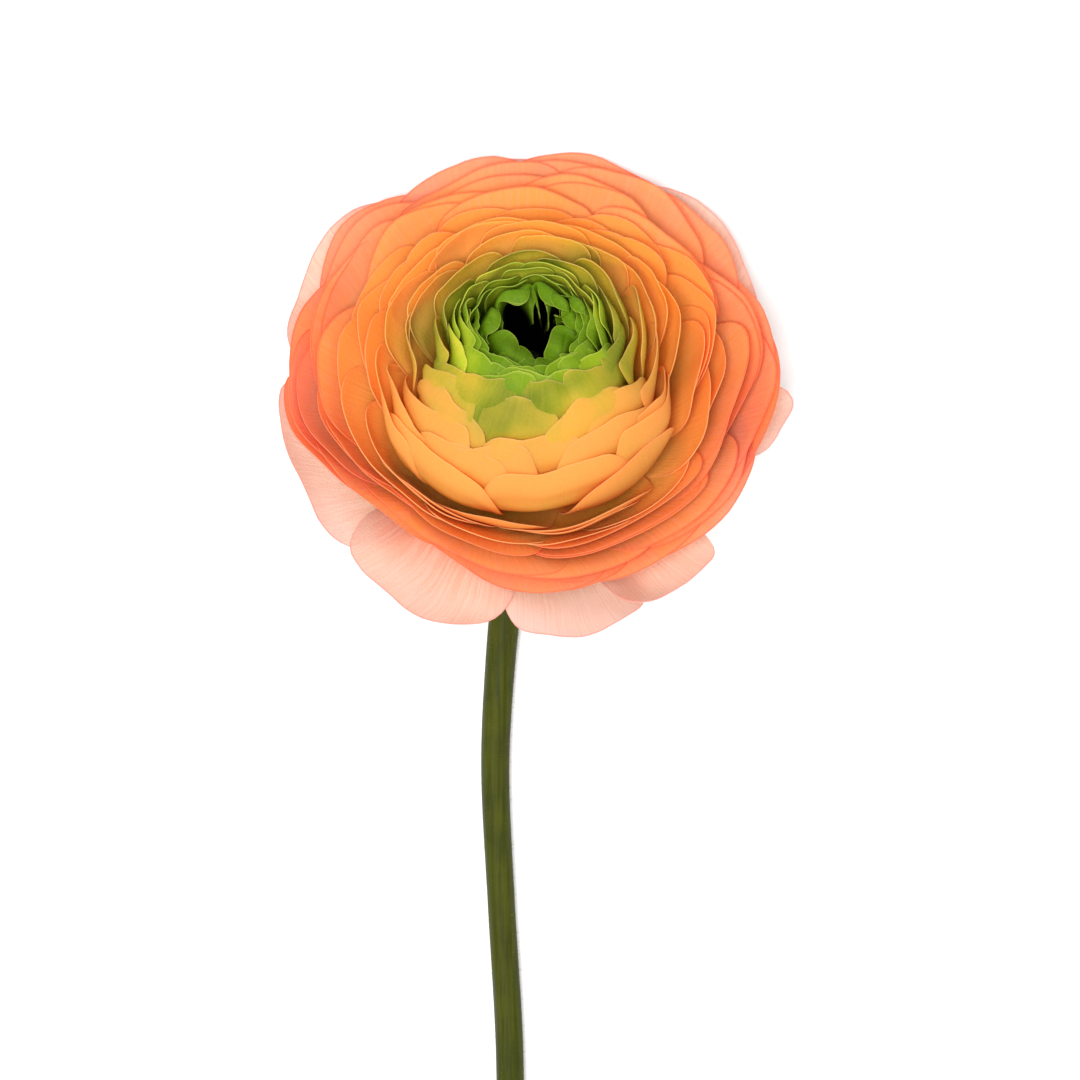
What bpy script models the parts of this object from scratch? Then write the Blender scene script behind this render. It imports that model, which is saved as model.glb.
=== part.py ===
"""A cut double ranunculus lying on its side: stem, sepals, seed cone and whorls of overlapping petals.

World frame: metres, +Z up. The stem lies along -Y and the flower faces up and towards +Y.
Head frame: origin where stem and flower meet, +Z along the flower's axis, azimuth 0 at +X and 90 degrees on
the low side. Shell profiles are (radius, height) pairs in millimetres in the head frame, from claw to rim.
The whole flower is moved at the end so that its bounding box stands centred on the origin.
"""

import math
from dataclasses import dataclass

import bmesh
import bpy
import numpy as np
from mathutils import Matrix, Vector

MM = 0.001
GOLDEN_ANGLE = 137.508  # degrees between one petal and the next along the spiral

# How the flower lies.
HEAD_LEAN = 38.0  # degrees between the flower's axis and the vertical
NECK_BEND_RADIUS = 30.0  # centre line of the bend that lifts the head off the surface
STEM_REST_HEIGHT = 2.45  # centre line above the surface where the stem lies

# Stem: centre line along the surface as (sideways, along) and the radius there.
STEM_COURSE = (
    ((-3.4, -130.0), 2.45),
    ((-3.7, -110.0), 2.42),
    ((-5.0, -86.0), 2.38),
    ((-6.0, -62.0), 2.45),
    ((-5.0, -42.0), 2.6),
    ((-3.4, -26.0), 2.75),
)
STEM_RINGS = 34
STEM_SIDES = 12

# Receptacle: the flare under the flower and the cone that carries the petals, in the head frame.
FLARE_PROFILE = ((3.3, -2.5), (4.6, -0.6), (6.2, 0.9), (6.95, 2.2))
CONE_FOOT = (7.4, 3.2)
CONE_TOP = (3.5, 10.6)
SEAT_GAP = 0.5  # between the middle of a claw's edge and the receptacle
LAYER_GAP = 0.4  # between guard petals pressed on each other

# Seed cone in the middle of the flower.
SEED_CONE_PROFILE = ((2.5, 10.7), (2.9, 12.5), (3.0, 16.0), (2.7, 20.0), (1.9, 22.8), (0.9, 23.9))
SEED_CONE_SIDES = 12

# Petal shells from the outermost (share 0) to the innermost (share 1): four control points of the profile.
SHELLS = (
    (0.00, (7.4, 3.2), (20.0, -0.5), (36.0, 2.0), (42.0, 12.5)),
    (0.10, (7.1, 3.7), (19.0, 0.8), (36.5, 4.0), (41.6, 15.5)),
    (0.16, (6.9, 4.0), (18.0, 1.6), (38.8, 6.0), (40.5, 22.5)),
    (0.35, (6.2, 5.2), (17.0, 3.6), (37.0, 9.5), (36.0, 24.5)),
    (0.50, (5.6, 6.2), (15.0, 5.0), (33.5, 12.0), (31.0, 26.0)),
    (0.62, (5.1, 7.2), (13.5, 6.4), (31.5, 14.0), (26.5, 28.0)),
    (0.70, (4.8, 7.8), (12.8, 7.2), (32.5, 16.5), (20.5, 34.0)),
    (0.80, (4.4, 8.7), (11.5, 8.4), (31.5, 20.5), (14.5, 39.0)),
    (0.90, (3.9, 9.7), (9.5, 10.9), (22.0, 24.0), (10.0, 40.0)),
    (1.00, (3.5, 10.6), (6.5, 14.0), (12.5, 25.0), (6.0, 36.5)),
)
SEPAL_PROFILE = ((6.95, 1.15), (10.0, 0.7), (14.0, 0.0), (18.0, -1.2))

CLAW_HALF_WIDTH = 1.4
CLAW_LENGTH = 0.48  # share of the petal over which it widens from claw to blade
SEED = 7


@dataclass(frozen=True)
class Whorl:
    """A stretch of the petal spiral whose petals share their build."""

    name: str
    count: int
    shares: tuple[float, float]  # shells of the first and the last petal
    width: float  # degrees around the axis
    rounding: float  # how far the petal's corners fall back from its tip, as a share of its length
    thickness: float
    grid: tuple[int, int]  # divisions across and along
    colour: tuple[float, float, float]


WHORLS = (
    Whorl("outer_petal", 15, (0.14, 0.44), 84.0, 0.20, 0.34, (7, 6), (0.93, 0.27, 0.10)),
    Whorl("middle_petal", 10, (0.46, 0.66), 84.0, 0.24, 0.32, (6, 6), (0.90, 0.36, 0.08)),
    Whorl("inner_petal", 10, (0.68, 0.88), 88.0, 0.30, 0.30, (6, 6), (0.86, 0.55, 0.12)),
    Whorl("heart_petal", 7, (0.90, 1.0), 84.0, 0.34, 0.30, (4, 6), (0.42, 0.50, 0.06)),
)


@dataclass(frozen=True)
class Blade:
    """One petal or sepal laid out by hand."""

    azimuth: float  # degrees
    width: float  # degrees
    share: float  # its shell
    reach: float  # length as a share of the shell's profile


# Guard petals in two alternating layers, the pale outermost ones.
GUARD_PETALS = (
    Blade(92.0, 78.0, 0.000, 1.00),
    Blade(143.0, 68.0, 0.065, 0.97),
    Blade(192.0, 78.0, 0.000, 1.00),
    Blade(237.0, 72.0, 0.065, 0.99),
    Blade(278.0, 66.0, 0.000, 0.97),
    Blade(320.0, 70.0, 0.065, 1.00),
    Blade(4.0, 74.0, 0.000, 1.00),
    Blade(47.0, 70.0, 0.065, 0.98),
)
GUARD_GRID = (8, 6)
GUARD_ROUNDING = 0.16
GUARD_THICKNESS = 0.34
GUARD_COLOUR = (0.88, 0.52, 0.33)

SEPAL_COUNT = 5
SEPAL_WIDTH = 52.0
SEPAL_GRID = (4, 4)
SEPAL_THICKNESS = 0.5
SEPAL_FIRST_AZIMUTH = 20.0
SEPAL_COLOUR = (0.16, 0.22, 0.04)

STEM_COLOUR = (0.10, 0.13, 0.02)
SEED_CONE_COLOUR = (0.02, 0.02, 0.01)


def clear_scene():
    """Remove everything that the file opened with."""
    for thing in list(bpy.data.objects):
        bpy.data.objects.remove(thing, do_unlink=True)


def principled(name, colour, roughness):
    """Return a plain material of one colour."""
    material = bpy.data.materials.new(name)
    material.use_nodes = True
    shader = material.node_tree.nodes["Principled BSDF"]
    shader.inputs["Base Color"].default_value = (*colour, 1.0)
    shader.inputs["Roughness"].default_value = roughness
    shader.inputs["Metallic"].default_value = 0.0
    return material


def neck_height():
    """Return the height of the head frame's origin above the surface."""
    climb = math.radians(90.0 - HEAD_LEAN)
    return STEM_REST_HEIGHT + NECK_BEND_RADIUS * (1.0 - math.cos(climb))


def head_matrix():
    """Return the head frame in world millimetres."""
    lean = Matrix.Rotation(-math.radians(HEAD_LEAN), 4, "X")
    return Matrix.Translation((0.0, 0.0, neck_height())) @ lean


def shell_profile(share):
    """Return the four control points of the shell at a share between outermost and innermost."""
    shares = [shell[0] for shell in SHELLS]
    columns = np.array([shell[1:] for shell in SHELLS], dtype=float)
    return np.array(
        [[np.interp(share, shares, columns[:, i, j]) for j in range(2)] for i in range(4)]
    )


def profile_point(controls, t):
    """Return (radius, height) at t on the cubic curve through four control points."""
    a, b, c, d = controls
    return (1 - t) ** 3 * a + 3 * (1 - t) ** 2 * t * b + 3 * (1 - t) * t * t * c + t**3 * d


def smooth_step(x):
    """Ease from 0 to 1 as x goes from 0 to 1."""
    x = min(max(x, 0.0), 1.0)
    return x * x * (3.0 - 2.0 * x)


def blade_point(controls, blade, rounding, u, v):
    """Return a point of a blade in the head frame; u runs across from -1 to 1 and v from claw to rim."""
    t = v * blade.reach * (1.0 - rounding * abs(u) ** 2.6)
    radius, height = profile_point(np.asarray(controls, dtype=float), t)
    opened = smooth_step(v / CLAW_LENGTH)
    claw = CLAW_HALF_WIDTH / radius
    half = claw + (math.radians(blade.width / 2.0) - claw) * opened
    angle = math.radians(blade.azimuth) + u * half
    return Vector((radius * math.cos(angle), radius * math.sin(angle), height))


def add_object(name, mesh, material):
    """Link a mesh with its material to the scene and shade it smooth."""
    mesh.materials.append(material)
    mesh.shade_smooth()
    piece = bpy.data.objects.new(name, mesh)
    bpy.context.scene.collection.objects.link(piece)
    return piece


def add_blade(name, controls, blade, rounding, thickness, grid, floor, material):
    """Build a petal or sepal as a grid on its shell, flattened where it presses on the surface.

    floor is the least height in millimetres of the blade's middle surface above the surface it lies on.
    """
    across, along = grid
    head = head_matrix()
    shape = bmesh.new()
    rows = []
    for j in range(along + 1):
        row = []
        for i in range(across + 1):
            point = head @ blade_point(controls, blade, rounding, 2.0 * i / across - 1.0, j / along)
            point.z = max(point.z, floor)
            row.append(shape.verts.new(point * MM))
        rows.append(row)
    for low, high in zip(rows, rows[1:]):
        for i in range(across):
            shape.faces.new((low[i], low[i + 1], high[i + 1], high[i]))
    mesh = bpy.data.meshes.new(name)
    shape.to_mesh(mesh)
    shape.free()
    piece = add_object(name, mesh, material)
    skin = piece.modifiers.new("thickness", "SOLIDIFY")
    skin.thickness = thickness * MM
    skin.offset = 0.0
    return piece


def add_loft(name, rings, material):
    """Build one closed solid through a list of rings of world points in metres, capped at both ends."""
    shape = bmesh.new()
    loops = [[shape.verts.new(point) for point in ring] for ring in rings]
    sides = len(loops[0])
    for low, high in zip(loops, loops[1:]):
        for i in range(sides):
            k = (i + 1) % sides
            shape.faces.new((low[i], low[k], high[k], high[i]))
    shape.faces.new(list(reversed(loops[0])))
    shape.faces.new(loops[-1])
    mesh = bpy.data.meshes.new(name)
    shape.to_mesh(mesh)
    shape.free()
    return add_object(name, mesh, material)


def head_ring(radius, height, sides):
    """Return a ring around the flower's axis as world points in metres."""
    head = head_matrix()
    turns = [math.tau * k / sides for k in range(sides)]
    return [head @ Vector((radius * math.cos(a), radius * math.sin(a), height)) * MM for a in turns]


def tube_ring(centre, direction, radius):
    """Return a ring of the stem around its centre line, started on the side of +X as the head's rings are."""
    across = Vector((1.0, 0.0, 0.0))
    across = (across - direction * across.dot(direction)).normalized()
    up = direction.cross(across)
    turns = [math.tau * k / STEM_SIDES for k in range(STEM_SIDES)]
    return [(centre + (across * math.cos(a) + up * math.sin(a)) * radius) * MM for a in turns]


def catmull_rom(values, position):
    """Return the smooth curve through evenly numbered values at a fractional position."""
    values = np.asarray(values, dtype=float)
    index = min(int(position), len(values) - 2)
    t = position - index
    before = values[max(index - 1, 0)]
    start, end = values[index], values[index + 1]
    after = values[min(index + 2, len(values) - 1)]
    return 0.5 * (
        2 * start
        + (end - before) * t
        + (2 * before - 5 * start + 4 * end - after) * t**2
        + (3 * start - before - 3 * end + after) * t**3
    )


def stem_course():
    """Return the stem's centre points and radii in world millimetres, from the cut end up to the flare."""
    climb = math.radians(90.0 - HEAD_LEAN)
    run = NECK_BEND_RADIUS * math.sin(climb)
    lying = [(*place, STEM_REST_HEIGHT, radius) for place, radius in STEM_COURSE]
    side_at_bend = STEM_COURSE[-1][0][0]
    neck = []
    for share in (0.3, 0.6, 0.9):
        turned = climb * share
        neck.append(
            (
                side_at_bend * (1.0 - smooth_step(share)),
                -run + NECK_BEND_RADIUS * math.sin(turned),
                STEM_REST_HEIGHT + NECK_BEND_RADIUS * (1.0 - math.cos(turned)),
                STEM_COURSE[-1][1],
            )
        )
    knots = lying + neck
    samples = [catmull_rom(knots, (len(knots) - 1) * k / STEM_RINGS) for k in range(STEM_RINGS + 1)]
    return [Vector(sample[:3]) for sample in samples], [float(sample[3]) for sample in samples]


def build_stem():
    """Build the stem with the receptacle that it grows into."""
    centres, radii = stem_course()
    rings = []
    for k, (centre, radius) in enumerate(zip(centres, radii)):
        behind = centres[max(k - 1, 0)]
        ahead = centres[min(k + 1, len(centres) - 1)]
        ring = tube_ring(centre, (ahead - behind).normalized(), radius)
        rings.append([Vector((p.x, p.y, max(p.z, 0.0))) for p in ring])
    outward = Vector((CONE_TOP[1] - CONE_FOOT[1], CONE_FOOT[0] - CONE_TOP[0])).normalized() * SEAT_GAP
    cone = [(foot[0] - outward.x, foot[1] - outward.y) for foot in (CONE_FOOT, CONE_TOP)]
    for radius, height in (*FLARE_PROFILE, *cone):
        rings.append(head_ring(radius, height, STEM_SIDES))
    return add_loft("stem", rings, principled("stem_green", STEM_COLOUR, 0.6))


def build_seed_cone():
    """Build the dark cone in the middle of the flower."""
    rings = [head_ring(radius, height, SEED_CONE_SIDES) for radius, height in SEED_CONE_PROFILE]
    return add_loft("seed_cone", rings, principled("seed_cone_dark", SEED_CONE_COLOUR, 0.7))


def build_sepals():
    """Build the ring of sepals under the petals."""
    green = principled("sepal_green", SEPAL_COLOUR, 0.6)
    pieces = []
    for k in range(SEPAL_COUNT):
        blade = Blade(SEPAL_FIRST_AZIMUTH + 360.0 * k / SEPAL_COUNT, SEPAL_WIDTH, 0.0, 1.0)
        pieces.append(
            add_blade(
                f"sepal_{k + 1}", SEPAL_PROFILE, blade, 0.35, SEPAL_THICKNESS, SEPAL_GRID, 0.0, green
            )
        )
    return pieces


def pressed_floor(layers_below):
    """Return the least height of a petal's middle where the flower presses it on the petals below it."""
    return GUARD_THICKNESS / 2.0 + layers_below * (GUARD_THICKNESS + LAYER_GAP)


def build_guard_petals():
    """Build the pale outermost petals; the upper layer rests one layer higher where it is pressed down."""
    pale = principled("guard_petal_peach", GUARD_COLOUR, 0.5)
    pieces = []
    for k, blade in enumerate(GUARD_PETALS):
        floor = pressed_floor(1 if blade.share > 0.0 else 0)
        controls = shell_profile(blade.share)
        pieces.append(
            add_blade(
                f"guard_petal_{k + 1}",
                controls,
                blade,
                GUARD_ROUNDING,
                GUARD_THICKNESS,
                GUARD_GRID,
                floor,
                pale,
            )
        )
    return pieces


def build_whorls():
    """Build the petal spiral from the outer petals in to the heart."""
    chance = np.random.default_rng(SEED)
    pieces = []
    turned = 0.0
    for whorl in WHORLS:
        material = principled(f"{whorl.name}_tint", whorl.colour, 0.45)
        for k, share in enumerate(np.linspace(*whorl.shares, whorl.count)):
            blade = Blade(turned, whorl.width, float(share), float(chance.uniform(0.94, 1.0)))
            turned = (turned + GOLDEN_ANGLE) % 360.0
            pieces.append(
                add_blade(
                    f"{whorl.name}_{k + 1:02d}",
                    shell_profile(blade.share),
                    blade,
                    whorl.rounding,
                    whorl.thickness,
                    whorl.grid,
                    pressed_floor(2),
                    material,
                )
            )
    return pieces


def stand_on_origin(pieces):
    """Move the flower so that the bottom centre of its bounding box is the origin."""
    bpy.context.view_layer.update()
    shown = bpy.context.evaluated_depsgraph_get()
    corners = np.array([corner for piece in pieces for corner in piece.evaluated_get(shown).bound_box])
    low, high = corners.min(axis=0), corners.max(axis=0)
    shift = Vector((-(low[0] + high[0]) / 2.0, -(low[1] + high[1]) / 2.0, -low[2]))
    for piece in pieces:
        piece.location = shift


def main():
    """Build every piece of the flower."""
    clear_scene()
    pieces = [build_stem(), build_seed_cone(), *build_sepals(), *build_guard_petals(), *build_whorls()]
    stand_on_origin(pieces)


main()
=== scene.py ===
"""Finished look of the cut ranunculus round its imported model, with a pale floor, soft light and a camera."""

import logging
import math
from dataclasses import dataclass
from enum import Enum

import bpy
import numpy as np
from mathutils import Matrix, Vector


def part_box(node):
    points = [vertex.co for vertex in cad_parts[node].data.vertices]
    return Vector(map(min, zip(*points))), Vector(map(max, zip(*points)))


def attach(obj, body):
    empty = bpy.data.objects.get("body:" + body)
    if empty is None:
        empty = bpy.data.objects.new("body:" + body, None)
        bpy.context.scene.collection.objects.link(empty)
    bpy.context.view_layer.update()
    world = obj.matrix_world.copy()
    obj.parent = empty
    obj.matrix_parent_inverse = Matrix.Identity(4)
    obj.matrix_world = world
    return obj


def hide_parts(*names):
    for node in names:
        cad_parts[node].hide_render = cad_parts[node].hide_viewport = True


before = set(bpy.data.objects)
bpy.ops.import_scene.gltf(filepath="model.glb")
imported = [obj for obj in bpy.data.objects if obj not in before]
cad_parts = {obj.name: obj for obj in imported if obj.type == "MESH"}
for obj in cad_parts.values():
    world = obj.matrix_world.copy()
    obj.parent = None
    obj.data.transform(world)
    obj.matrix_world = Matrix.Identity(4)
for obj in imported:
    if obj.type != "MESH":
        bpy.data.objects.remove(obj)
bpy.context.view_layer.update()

BODY = "root"
MM = 0.001
LOG = logging.getLogger("ranunculus")

HEAD_LEAN = 38.0  # degrees between the flower's axis and the vertical
GOLDEN_ANGLE = 137.508  # degrees from one packed petal to the next
Colour = tuple[float, float, float]
Array = np.ndarray
Chance = np.random.Generator
Piece = bpy.types.Object
Material = bpy.types.Material
Tree = bpy.types.NodeTree
Socket = bpy.types.NodeSocket


class Whorl(Enum):
    """The petal groups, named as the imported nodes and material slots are."""

    GUARD = "guard_petal"
    OUTER = "outer_petal"
    MIDDLE = "middle_petal"
    INNER = "inner_petal"
    HEART = "heart_petal"


# ---------------- curves and unevenness


def smooth(x: Array | float) -> Array:
    """Ease from 0 to 1 as x goes from 0 to 1."""
    x = np.clip(x, 0.0, 1.0)
    return x * x * (3.0 - 2.0 * x)


def rising(x: Array | float, start: float, span: float) -> Array:
    """Ease from 0 at a start to 1 a span further on."""
    return smooth((x - start) / span)


def unit(ways: Array) -> Array:
    """Return the rows scaled to length 1."""
    return ways / np.linalg.norm(ways, axis=1, keepdims=True)


def around(radius: Array, angle: Array, height: Array) -> Array:
    """Return points at distances from the axis, angles in radians and heights."""
    return np.stack([radius * np.cos(angle), radius * np.sin(angle), height], axis=1)


def smooth_floor(z: Array, floor: float, softness: float) -> Array:
    """Keep heights above a floor, with a bend of a given softness, all in millimetres."""
    return floor + softness * np.logaddexp(0.0, (z - floor) / softness)


def cubic(controls: Array, t: Array) -> tuple[Array, Array]:
    """Follow cubic curves given by four control points.

    Args:
        controls: Control points, one set of four for each t or one set for all.
        t: Places along the curves, from 0 to 1.

    Returns:
        The points and the slopes at each t.
    """
    a, b, c, d = (controls[..., i, :] for i in range(4))
    t = t[:, None]
    place = (1 - t) ** 3 * a + 3 * (1 - t) ** 2 * t * b + 3 * (1 - t) * t * t * c + t**3 * d
    slope = 3 * ((1 - t) ** 2 * (b - a) + 2 * (1 - t) * t * (c - b) + t * t * (d - c))
    return place, slope


def catmull_rom(knots: Array, position: Array) -> Array:
    """Follow the smooth curve through evenly numbered knots.

    Args:
        knots: One row of numbers for each knot.
        position: Fractional knot numbers.

    Returns:
        One row for each position.
    """
    index = np.minimum(position.astype(int), len(knots) - 2)
    t = (position - index)[:, None]
    before, start = knots[np.maximum(index - 1, 0)], knots[index]
    end, after = knots[index + 1], knots[np.minimum(index + 2, len(knots) - 1)]
    bend = (2 * before - 5 * start + 4 * end - after) * t**2
    return 0.5 * (2 * start + (end - before) * t + bend + (3 * start - before - 3 * end + after) * t**3)


@dataclass(frozen=True)
class Drift:
    """A gentle unevenness of space that moves neighbouring petals alike, so that they never cross."""

    waves: Array
    phases: Array
    pushes: Array

    @classmethod
    def seeded(cls, seed: int, lengths: tuple[float, ...], heights: tuple[float, ...]) -> "Drift":
        """Draw one wave for each wavelength and height, in millimetres."""
        chance = np.random.default_rng(seed)
        count = len(lengths)
        ways = unit(chance.normal(size=(count, 3)))
        pushes = unit(chance.normal(size=(count, 3)))
        waves = ways * (math.tau / np.array(lengths))[:, None]
        return cls(waves, chance.uniform(0.0, math.tau, count), pushes * np.array(heights)[:, None])

    def moved(self, points: Array, strength: Array | float) -> Array:
        """Return the points pushed by every wave, scaled by a strength for each point."""
        lift = np.sin(points @ self.waves.T + self.phases)
        return points + (lift @ self.pushes) * np.reshape(strength, (-1, 1))


HEAD_DRIFT = Drift.seeded(5, (31.0, 25.0, 20.0, 16.0, 13.0), (0.6, 0.6, 0.5, 0.4, 0.2))
HEART_CRUMPLE = Drift.seeded(9, (8.0, 6.5, 5.0, 4.0), (0.35, 0.3, 0.25, 0.2))


# ---------------- the flower's frame and its petal shells


@dataclass(frozen=True)
class HeadFrame:
    """The flower's own frame: its foot, and its axis leaning from the vertical towards +Y."""

    foot: Vector

    neck_bend_radius = 30.0
    stem_rest_height = 2.45
    stem_behind_head = 130.0  # from the cut end to the foot, along the surface

    @classmethod
    def of_model(cls) -> "HeadFrame":
        """Find the flower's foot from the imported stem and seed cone, in millimetres."""
        cone_low, cone_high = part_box("seed_cone")
        stem_low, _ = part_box("stem")
        climb = math.radians(90.0 - HEAD_LEAN)
        height = cls.stem_rest_height + cls.neck_bend_radius * (1.0 - math.cos(climb))
        side = (cone_low.x + cone_high.x) / 2.0 / MM
        return cls(Vector((side, stem_low.y / MM + cls.stem_behind_head, height)))

    def to_world(self, points: Array) -> Array:
        """Return head-frame points in the world, both in millimetres."""
        turn = np.array(Matrix.Rotation(-math.radians(HEAD_LEAN), 3, "X"))
        return points @ turn.T + np.array(self.foot)


@dataclass(frozen=True)
class ShellFamily:
    """Nested petal shells from the outermost (share 0) to the innermost (share 1).

    Each row is a share and the radius and height, in millimetres, of a profile's four control points.
    """

    rows: tuple

    terraces: int  # rims gather in this many rows between the first and the last terraced share
    last_terraced: float = 0.64

    first_terraced = 0.14
    gathered = 0.8  # how much of a terrace's width its rims give up
    gather_rise = (0.6, 0.4)  # where in a terrace the rims climb to the next

    def controls(self, share: float) -> Array:
        """Return the four control points of the shell at a share, with its rim gathered to its terrace."""
        points = self.at(share)
        points[3] = self.at(self.terrace(share))[3]
        return points

    def at(self, share: float) -> Array:
        """Return the four control points at a share, straight from the rows."""
        shares, *columns = np.array(self.rows).T
        return np.array([np.interp(share, shares, column) for column in columns]).reshape(4, 2)

    def terrace(self, share: float) -> float:
        """Return the share whose rim a petal's rim is gathered to."""
        width = self.last_terraced - self.first_terraced
        place = (share - self.first_terraced) / width * self.terraces
        if not 0.0 <= place < self.terraces:
            return share
        step = math.floor(place)
        part = place - step
        climb = float(rising(part, *self.gather_rise))
        part = part * (1.0 - self.gathered) + climb * self.gathered
        return self.first_terraced + (step + part) / self.terraces * width


SIDE_SHELLS = ShellFamily((
    (0.00, 7.4, 3.2, 20.0, -0.5, 34.5, 1.5, 41.0, 11.5),
    (0.08, 7.15, 3.6, 19.3, 0.5, 34.0, 3.5, 40.7, 14.5),
    (0.14, 6.9, 4.0, 18.0, 1.6, 32.0, 5.4, 40.5, 18.0),
    (0.30, 6.35, 4.9, 16.5, 3.2, 29.5, 8.0, 37.0, 21.5),
    (0.46, 5.75, 5.95, 15.0, 4.8, 25.5, 12.0, 32.2, 24.6),
    (0.60, 5.2, 7.0, 13.6, 6.3, 23.5, 14.5, 27.8, 27.4),
    (0.66, 5.0, 7.5, 13.2, 6.9, 23.0, 16.5, 25.2, 28.8),
    (0.72, 4.75, 7.95, 12.7, 7.5, 22.2, 19.5, 21.6, 31.0),
    (0.80, 4.4, 8.7, 11.5, 8.6, 20.5, 24.5, 16.6, 33.8),
    (0.86, 4.1, 9.3, 10.3, 10.0, 18.0, 29.5, 12.6, 35.6),
    (0.92, 3.8, 9.9, 9.0, 11.6, 16.0, 34.0, 9.0, 36.2),
    (1.00, 3.5, 10.6, 7.5, 14.0, 13.0, 37.0, 6.8, 34.8),
), 9)
RAISED_SHELLS = ShellFamily((
    (0.00, 7.4, 3.2, 20.0, -1.0, 33.0, 1.0, 43.0, 9.5),
    (0.08, 7.15, 3.6, 19.3, 0.1, 32.0, 2.8, 41.4, 11.2),
    (0.14, 6.9, 4.0, 23.5, 0.2, 28.5, 12.0, 38.8, 15.2),
    (0.24, 6.6, 4.5, 22.0, 1.0, 27.5, 13.0, 37.2, 16.9),
    (0.34, 6.2, 5.1, 19.5, 2.0, 26.8, 13.0, 33.8, 18.8),
    (0.44, 5.85, 5.8, 17.5, 3.2, 26.9, 12.8, 31.8, 20.2),
    (0.54, 5.45, 6.5, 15.8, 4.4, 27.5, 12.5, 29.6, 21.8),
    (0.60, 5.2, 7.0, 14.8, 5.6, 28.5, 13.0, 27.8, 23.2),
    (0.66, 5.0, 7.5, 13.2, 6.9, 33.5, 15.5, 23.6, 29.4),
    (0.72, 4.75, 7.95, 12.7, 7.5, 33.5, 20.0, 19.0, 32.2),
    (0.80, 4.4, 8.7, 11.5, 8.6, 31.0, 25.5, 13.6, 35.2),
    (0.86, 4.1, 9.3, 10.3, 10.0, 26.0, 30.5, 10.4, 36.6),
    (0.92, 3.8, 9.9, 9.0, 11.6, 19.0, 35.0, 8.4, 36.2),
    (1.00, 3.5, 10.6, 7.5, 14.0, 14.0, 37.5, 6.6, 34.8),
), 5)
LOW_SHELLS = ShellFamily((
    (0.00, 7.4, 3.2, 20.0, -0.5, 34.5, 1.5, 43.5, 11.0),
    (0.08, 7.15, 3.6, 19.3, 0.5, 34.0, 3.5, 43.2, 14.0),
    (0.14, 6.9, 4.0, 18.0, 1.6, 31.0, 6.8, 43.0, 18.0),
    (0.30, 6.35, 4.9, 16.5, 3.2, 26.0, 10.0, 37.2, 21.5),
    (0.46, 5.75, 5.95, 15.0, 4.8, 22.5, 13.0, 31.8, 24.0),
    (0.60, 5.2, 7.0, 13.6, 6.3, 19.2, 15.0, 27.0, 26.5),
    (0.70, 4.8, 7.8, 12.8, 7.4, 16.8, 17.5, 22.6, 28.8),
    (0.80, 4.4, 8.7, 11.5, 8.6, 14.6, 21.5, 17.0, 32.0),
    (0.86, 4.1, 9.3, 10.3, 10.0, 13.4, 26.5, 13.0, 34.6),
    (0.92, 3.8, 9.9, 9.0, 11.6, 12.2, 31.0, 9.8, 35.8),
    (1.00, 3.5, 10.6, 7.5, 14.0, 10.8, 34.0, 7.0, 34.8),
), 9, 0.82)


# ---------------- modelling helpers


def deselect() -> None:
    """Leave nothing selected."""
    bpy.ops.object.select_all(action="DESELECT")


def add_grid(name: str, across: int, along: int) -> Piece:
    """Add a square grid from -1 to 1 with its own UV map."""
    deselect()
    bpy.ops.mesh.primitive_grid_add(x_subdivisions=across, y_subdivisions=along, size=2.0)
    piece = bpy.context.object
    piece.name = name
    piece.data.name = name
    return piece


def get_points(piece: Piece) -> Array:
    """Return the piece's points."""
    flat = np.zeros(len(piece.data.vertices) * 3)
    piece.data.vertices.foreach_get("co", flat)
    return flat.reshape(-1, 3)


def set_points(piece: Piece, points_mm: Array) -> None:
    """Put the piece's points at world places in millimetres."""
    piece.data.vertices.foreach_set("co", (points_mm * MM).ravel())
    piece.data.update()


def grid_places(piece: Piece) -> tuple[Array, Array]:
    """Return where each point of a fresh grid lies: across from -1 to 1, along from 0 to 1."""
    flat = get_points(piece)
    return flat[:, 0], (flat[:, 1] + 1.0) / 2.0


def add_attribute(piece: Piece, name: str, value: float | Array) -> None:
    """Store one number for each point."""
    layer = piece.data.attributes.new(name, "FLOAT", "POINT")
    layer.data.foreach_set("value", np.broadcast_to(value, len(piece.data.vertices)).astype(np.float32))


def solidify(piece: Piece, thickness: float) -> None:
    """Give a sheet its thickness in millimetres, half to each side, and shade it with crisp rims."""
    skin = piece.modifiers.new("thickness", "SOLIDIFY")
    skin.thickness = thickness * MM
    skin.offset = 0.0
    bpy.context.view_layer.objects.active = piece
    bpy.ops.object.modifier_apply(modifier=skin.name)
    bpy.ops.object.shade_smooth_by_angle(angle=math.radians(50.0))


def close_round(piece: Piece) -> None:
    """Join the two sides of a grid bent into a tube, close its ends and turn its faces outwards."""
    bpy.context.view_layer.objects.active = piece
    bpy.ops.object.mode_set(mode="EDIT")
    bpy.ops.mesh.select_all(action="SELECT")
    bpy.ops.mesh.remove_doubles(threshold=1e-6)
    bpy.ops.mesh.fill_holes(sides=0)
    bpy.ops.mesh.select_all(action="SELECT")
    bpy.ops.mesh.normals_make_consistent(inside=False)
    bpy.ops.object.mode_set(mode="OBJECT")
    bpy.ops.object.shade_smooth_by_angle(angle=math.radians(60.0))


def wear(piece: Piece, material: Material, node: str | None = None) -> None:
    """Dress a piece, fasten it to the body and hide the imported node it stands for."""
    piece.data.materials.append(material)
    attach(piece, BODY)
    if node:
        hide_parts(node)


# ---------------- petals


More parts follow.
